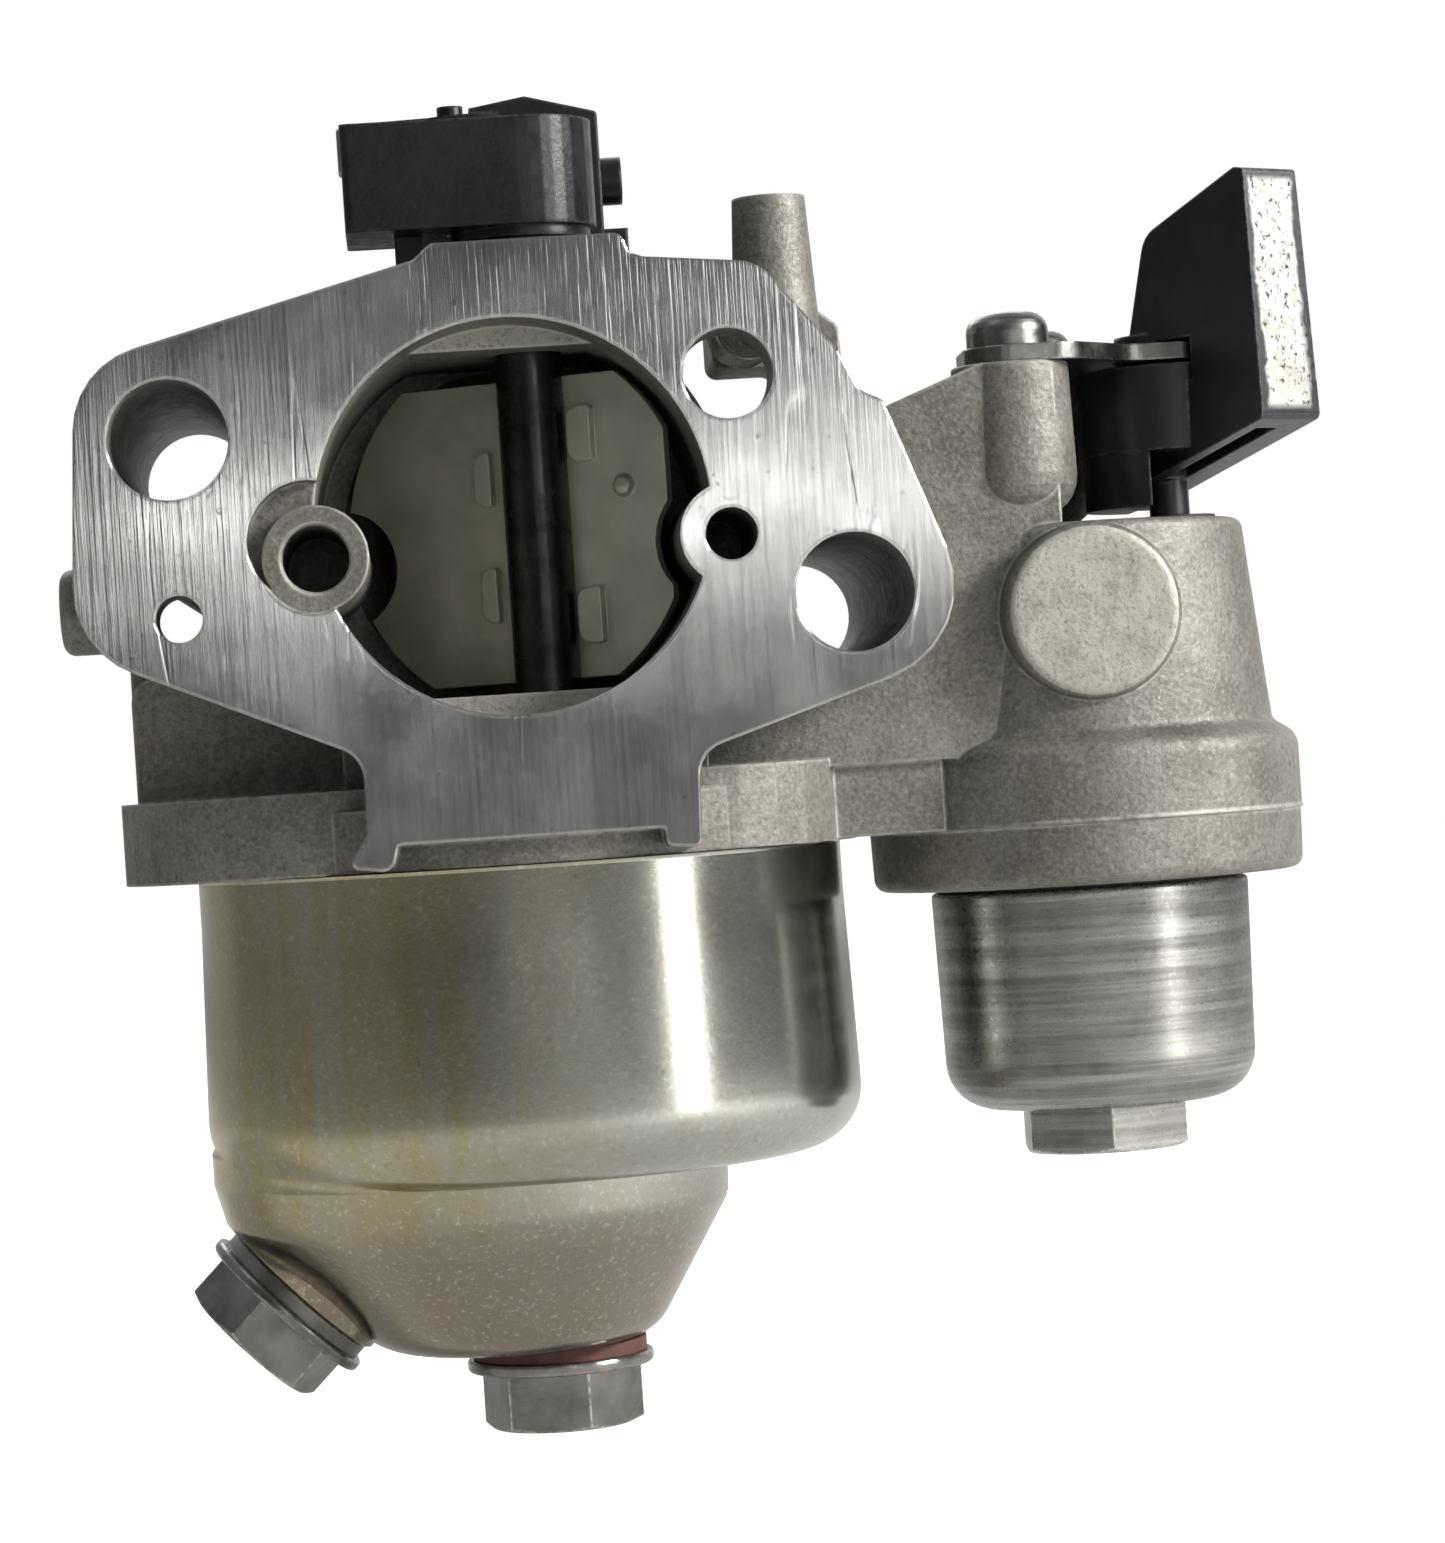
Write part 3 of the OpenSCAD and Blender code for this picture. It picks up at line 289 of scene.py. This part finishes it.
finishes = {
    "cast": cast_body(),
    "olive_sheet": simple("olive_sheet", (0.36, 0.36, 0.29), (0.48, 0.475, 0.39), 0.38, 0.6, depth=2e-5, wear=(0.6, 0.6, 0.52)),
    "black_steel": simple("black_steel", (0.02, 0.02, 0.02), (0.045, 0.043, 0.04), 0.24, 0.9, streak=(0.05, 0.05, 1)),
    "black_plastic": simple("black_plastic", (0.005, 0.0055, 0.0065), (0.010, 0.011, 0.0125), 0.34, 0.0, depth=3e-5,
                            wear=(0.07, 0.07, 0.075), radius=3e-4, spec=0.35),
    "bright_steel": simple("bright_steel", (0.42, 0.42, 0.40), (0.6, 0.6, 0.58), 0.27, 1.0, streak=(0.05, 0.05, 1)),
    "zinc": simple("zinc", (0.15, 0.148, 0.14), (0.29, 0.285, 0.27), 0.2, 1.0, depth=2.5e-5, wear=(0.85, 0.85, 0.83), radius=2.5e-4),
    "dull_screw": simple("dull_screw", (0.12, 0.12, 0.113), (0.25, 0.25, 0.235), 0.33, 1.0, depth=3e-5, wear=(0.6, 0.6, 0.58), radius=2e-4),
    "brass": simple("brass", (0.45, 0.31, 0.12), (0.62, 0.45, 0.19), 0.32, 1.0, streak=(0.05, 0.05, 1)),
    "rubber": simple("rubber", (0.010, 0.010, 0.010), (0.022, 0.022, 0.021), 0.62, 0.0, depth=3e-5),
    "fibre": simple("fibre", (0.07, 0.028, 0.022), (0.13, 0.055, 0.042), 0.75, 0.0, grain=3600, depth=4e-5),
    "bowl": bowl_sheet(),
    "cup": turned_cup(),
    "lever": worn_lever(),
    "cream": simple("cream", (0.5, 0.47, 0.36), (0.62, 0.58, 0.46), 0.5, 0.0, depth=3e-5),
}
dress = {
    "cast": ["carburetor_body"],
    "olive_sheet": ["choke_plate"],
    "black_steel": ["choke_shaft"],
    "black_plastic": ["choke_lever", "throttle_lever", "pilot_jet", "float"],
    "lever": ["fuel_valve_lever"],
    "bright_steel": ["throttle_shaft", "idle_stop_spring", "mixture_spring", "float_pin", "inlet_needle"],
    "zinc": ["throttle_plate_screw", "idle_stop_screw", "bowl_bolt", "drain_bolt", "passage_plugs"],
    "dull_screw": ["valve_retaining_plate", "valve_plate_screws", "mixture_screw", "drain_washer"],
    "brass": ["throttle_plate", "main_nozzle", "main_jet", "needle_seat", "fuel_inlet_nipple"],
    "rubber": ["throttle_shaft_seal", "choke_shaft_seal", "pilot_jet_seal", "bowl_gasket", "fuel_valve_seal",
               "sediment_cup_seal"],
    "fibre": ["bowl_bolt_washer"],
    "bowl": ["float_bowl"],
    "cup": ["sediment_cup"],
    "cream": ["fuel_strainer"],
}
for finish, names in dress.items():
    for name in names:
        mesh = nodes[name].data
        mesh.materials.clear()
        mesh.materials.append(finishes[finish])


# ---------- smooth float bowl ----------

def link(name, points, faces, material, smooth=True):
    mesh = bpy.data.meshes.new(name)
    mesh.from_pydata(points, [], faces)
    mesh.update()
    for polygon in mesh.polygons:
        polygon.use_smooth = smooth
    mesh.materials.append(material)
    obj = bpy.data.objects.new(name, mesh)
    scene.collection.objects.link(obj)
    return obj


def bowl_radius(angle, z, inset):
    """Distance in mm from the can's axis to the bowl's skin"""
    rim, flare, round_r, floor = 20.6 - inset, 0.35, 3.8 - 0.8 * inset, -40.3 + inset
    if z > floor + round_r:
        can = rim + flare * min(1.0, max(0.0, (-24 - z) / 11.8))
    elif z > floor:
        can = rim + flare - round_r + math.sqrt(max(0.0, round_r ** 2 - (floor + round_r - z) ** 2))
    else:
        can = (rim + flare - round_r) * max(0.0, 1 - (floor - z) / 0.5)
    if z > -43:
        part = min(1.0, max(0.0, (-40.3 - z) / 2.7))
        shift, r = -4.4 + 0.3 * part, 16.5 - 0.4 * part
    else:
        part = (-43 - z) / 8.8
        shift, r = -4.1 + 2.0 * part, 16.1 - 7.3 * part
        drop = z + 51.8 - inset
        if drop < 1.6:
            r -= 1.6 - math.sqrt(max(0.0, 1.6 ** 2 - (1.6 - drop) ** 2))
    r -= inset
    sump = shift * math.cos(angle) + math.sqrt(max(0.0, r * r - (shift * math.sin(angle)) ** 2))
    if z > -38:
        return can
    soft = 0.6
    gap = abs(can - sump)
    return max(can, sump) + max(0.0, soft - gap) ** 2 / (4 * soft) - 0.02


def bowl_skin(inset, steps=144):
    levels = [-20.86, -21.1, -24]
    levels += [-24 - 11.8 * i / 6 for i in range(1, 7)]
    levels += [-35.8 - 4.5 * math.sin(math.pi / 2 * i / 16) for i in range(1, 17)]
    levels += [-40.3 - 0.5 * i / 8 for i in range(1, 9)]
    levels += [-40.8 - 8.9 * i / 18 for i in range(1, 19)]
    levels += [-49.7 - 2.1 * math.sin(math.pi / 2 * i / 10) for i in range(1, 11)]
    top = levels[0]
    levels = [top + (z - top) * (51.8 - inset - 20.86) / (51.8 - 20.86) if inset else z for z in levels]
    points, faces = [], []
    for z in levels:
        for k in range(steps):
            a = 2 * math.pi * k / steps
            r = bowl_radius(a, z, inset)
            points.append(((r * math.cos(a) - 0.5) / 1000, (r * math.sin(a) - 21) / 1000, z / 1000))
    for i in range(len(levels) - 1):
        for k in range(steps):
            n = (k + 1) % steps
            faces.append((i * steps + k, (i + 1) * steps + k, (i + 1) * steps + n, i * steps + n))
    points.append((-0.0021, -0.021, levels[-1] / 1000))
    last = (len(levels) - 1) * steps
    faces += [(last + k, len(points) - 1, last + (k + 1) % steps) for k in range(steps)]
    return points, faces, steps


def smooth_bowl():
    points, faces, steps = bowl_skin(0)
    inner, inner_faces, _ = bowl_skin(1.0)
    base = len(points)
    points += inner
    faces = [tuple(reversed(f)) for f in faces] + [tuple(base + i for i in f) for f in inner_faces]
    faces += [(k, (k + 1) % steps, base + (k + 1) % steps, base + k) for k in range(steps)]
    tilt = math.radians(45.7)
    axis = Vector((math.sin(tilt), 0, math.cos(tilt)))
    side = Vector((math.cos(tilt), 0, -math.sin(tilt)))
    pad = Vector((-0.0161, -0.021, -0.0472))
    start = len(points)
    profile = [(0.0, -0.0003), (0.0055, -0.0003), (0.0058, 0.0), (0.0058, 0.0012)]
    for r, h in profile:
        for k in range(48):
            a = 2 * math.pi * k / 48
            points.append(tuple(pad + axis * h + side * (r * math.cos(a)) + Vector((0, r * math.sin(a), 0))))
    for i in range(len(profile) - 1):
        for k in range(48):
            n = (k + 1) % 48
            faces.append((start + i * 48 + k, start + i * 48 + n, start + (i + 1) * 48 + n, start + (i + 1) * 48 + k))
    return link("bowl_drawn", points, faces, finishes["bowl"])


bowl = smooth_bowl()
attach(bowl, "carburetor")
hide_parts("float_bowl")


# ---------- stage ----------

def area_light(name, place, target, size, power, color=(1, 1, 1)):
    light = bpy.data.lights.new(name, "AREA")
    light.shape = "RECTANGLE"
    light.size, light.size_y = size
    light.energy = power
    light.color = color
    obj = bpy.data.objects.new(name, light)
    obj.location = place
    obj.rotation_euler = (Vector(target) - Vector(place)).to_track_quat("-Z", "Y").to_euler()
    scene.collection.objects.link(obj)
    return obj


area_light("key", (0.36, -0.19, 0.16), (0.01, -0.03, -0.01), (0.10, 0.10), 2.5, (1.0, 0.99, 0.96))
area_light("side", (0.29, -0.24, -0.02), (0.0, -0.02, -0.03), (0.07, 0.30), 0.40, (1.0, 0.99, 0.97))
area_light("top", (-0.18, -0.20, 0.42), (0.0, -0.025, 0.0), (0.25, 0.2), 0.15, (0.98, 0.99, 1.0))
area_light("strip", (0.05, -0.44, 0.024), (0.005, -0.042, 0.0), (0.22, 0.007), 0.035)
area_light("card", (0.128, -0.44, 0.078), (0.02, -0.042, 0.0), (0.09, 0.08), 0.05)
area_light("rim", (-0.05, 0.40, 0.30), (0.0, -0.02, 0.0), (0.4, 0.25), 0.9)

# Brightness of the room round the part: [degrees from the camera side towards +X, level]
ROOM = [(-180, 0.5), (-140, 0.42), (-118, 0.19), (-60, 0.19), (-34, 0.10), (-4, 0.10), (12, 0.15), (28, 0.22),
        (50, 0.28), (64, 0.07), (118, 0.08), (138, 0.9), (180, 0.5)]
ROOM_TOP = 0.15
world = bpy.data.worlds.new("studio")
scene.world = world
world.use_nodes = True
wt = world.node_tree


def wnode(kind, **settings):
    n = wt.nodes.new(kind)
    for k, v in settings.items():
        setattr(n, k, v)
    return n


def wspan(value, low, high, out_low, out_high):
    n = wnode("ShaderNodeMapRange", interpolation_type="SMOOTHSTEP")
    n.inputs[1].default_value, n.inputs[2].default_value = low, high
    n.inputs[3].default_value, n.inputs[4].default_value = out_low, out_high
    wt.links.new(value, n.inputs[0])
    return n.outputs[0]


back = wt.nodes["Background"]
way = wnode("ShaderNodeSeparateXYZ")
wt.links.new(wnode("ShaderNodeTexCoord").outputs["Generated"], way.inputs[0])
ahead_y = wnode("ShaderNodeMath", operation="MULTIPLY")
ahead_y.inputs[1].default_value = -1.0
wt.links.new(way.outputs["Y"], ahead_y.inputs[0])
azimuth = wnode("ShaderNodeMath", operation="ARCTAN2")
wt.links.new(way.outputs["X"], azimuth.inputs[0])
wt.links.new(ahead_y.outputs[0], azimuth.inputs[1])
share = wnode("ShaderNodeMapRange")
share.inputs[1].default_value, share.inputs[2].default_value = -math.pi, math.pi
wt.links.new(azimuth.outputs[0], share.inputs[0])
ramp = wnode("ShaderNodeValToRGB")
ramp.color_ramp.interpolation = "EASE"
steps = ramp.color_ramp.elements
while len(steps) < len(ROOM):
    steps.new(0.5)
for step, (degrees, bright) in zip(steps, ROOM):
    step.position = (degrees + 180) / 360
for step, (degrees, bright) in zip(steps, ROOM):
    step.color = (bright, bright, bright, 1)
wt.links.new(share.outputs[0], ramp.inputs[0])
around = ramp.outputs[0]
height = wspan(way.outputs["Z"], 0.15, 0.8, 0.0, ROOM_TOP)
depth = wspan(way.outputs["Z"], -0.1, -0.5, 1.0, 0.45)
level = wnode("ShaderNodeMath", operation="MULTIPLY")
wt.links.new(around, level.inputs[0])
wt.links.new(depth, level.inputs[1])
total = wnode("ShaderNodeMath", operation="ADD")
wt.links.new(level.outputs[0], total.inputs[0])
wt.links.new(height, total.inputs[1])
back.inputs[0].default_value = (0.98, 0.99, 1.0, 1)
wt.links.new(total.outputs[0], back.inputs[1])
white = wnode("ShaderNodeBackground")
white.inputs[0].default_value = (1, 1, 1, 1)
choose = wnode("ShaderNodeMixShader")
wt.links.new(wnode("ShaderNodeLightPath").outputs["Is Camera Ray"], choose.inputs[0])
wt.links.new(back.outputs[0], choose.inputs[1])
wt.links.new(white.outputs[0], choose.inputs[2])
wt.links.new(choose.outputs[0], wt.nodes["World Output"].inputs[0])

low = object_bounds()[0][2] - 0.004
reach = 1.2
corners = [(-reach, -reach, low), (reach, -reach, low), (reach, reach, low), (-reach, reach, low)]
paper = Mat("paper")
sheet = paper.finish(paper.mix(paper.span(paper.noise(30), 0.4, 0.6), (0.66, 0.65, 0.63), (0.7, 0.69, 0.67)), 0.85, 0.0)
glow = paper.node("ShaderNodeEmission")
glow.inputs[0].default_value = (1, 1, 1, 1)
glow.inputs[1].default_value = 0.86
both = paper.node("ShaderNodeAddShader")
paper.tree.links.new(paper.shader.outputs[0], both.inputs[0])
paper.tree.links.new(glow.outputs[0], both.inputs[1])
pick = paper.node("ShaderNodeMixShader")
paper.tree.links.new(paper.node("ShaderNodeLightPath").outputs["Is Camera Ray"], pick.inputs[0])
paper.tree.links.new(paper.shader.outputs[0], pick.inputs[1])
paper.tree.links.new(both.outputs[0], pick.inputs[2])
paper.tree.links.new(pick.outputs[0], paper.tree.nodes["Material Output"].inputs[0])
floor = link("floor", corners, [(0, 1, 2, 3)], sheet, smooth=False)

# ---------- camera ----------

right = Vector((0.995548, -0.067018, -0.066274))
up = Vector((0.066149, -0.004085, 0.997801))
ahead = Vector((0.067141, 0.997743, -0.000366))
camera_data = bpy.data.cameras.new("camera")
camera_data.sensor_fit = "HORIZONTAL"
camera_data.sensor_width = 36
camera_data.lens = 4518.44 / 1445 * 36
camera_data.clip_start = 0.01
camera = bpy.data.objects.new("camera", camera_data)
place = Matrix((right, up, -ahead)).transposed().to_4x4()
place.translation = Vector((-0.006677, -0.312, -0.01596))
camera.matrix_world = place
scene.collection.objects.link(camera)
scene.camera = camera
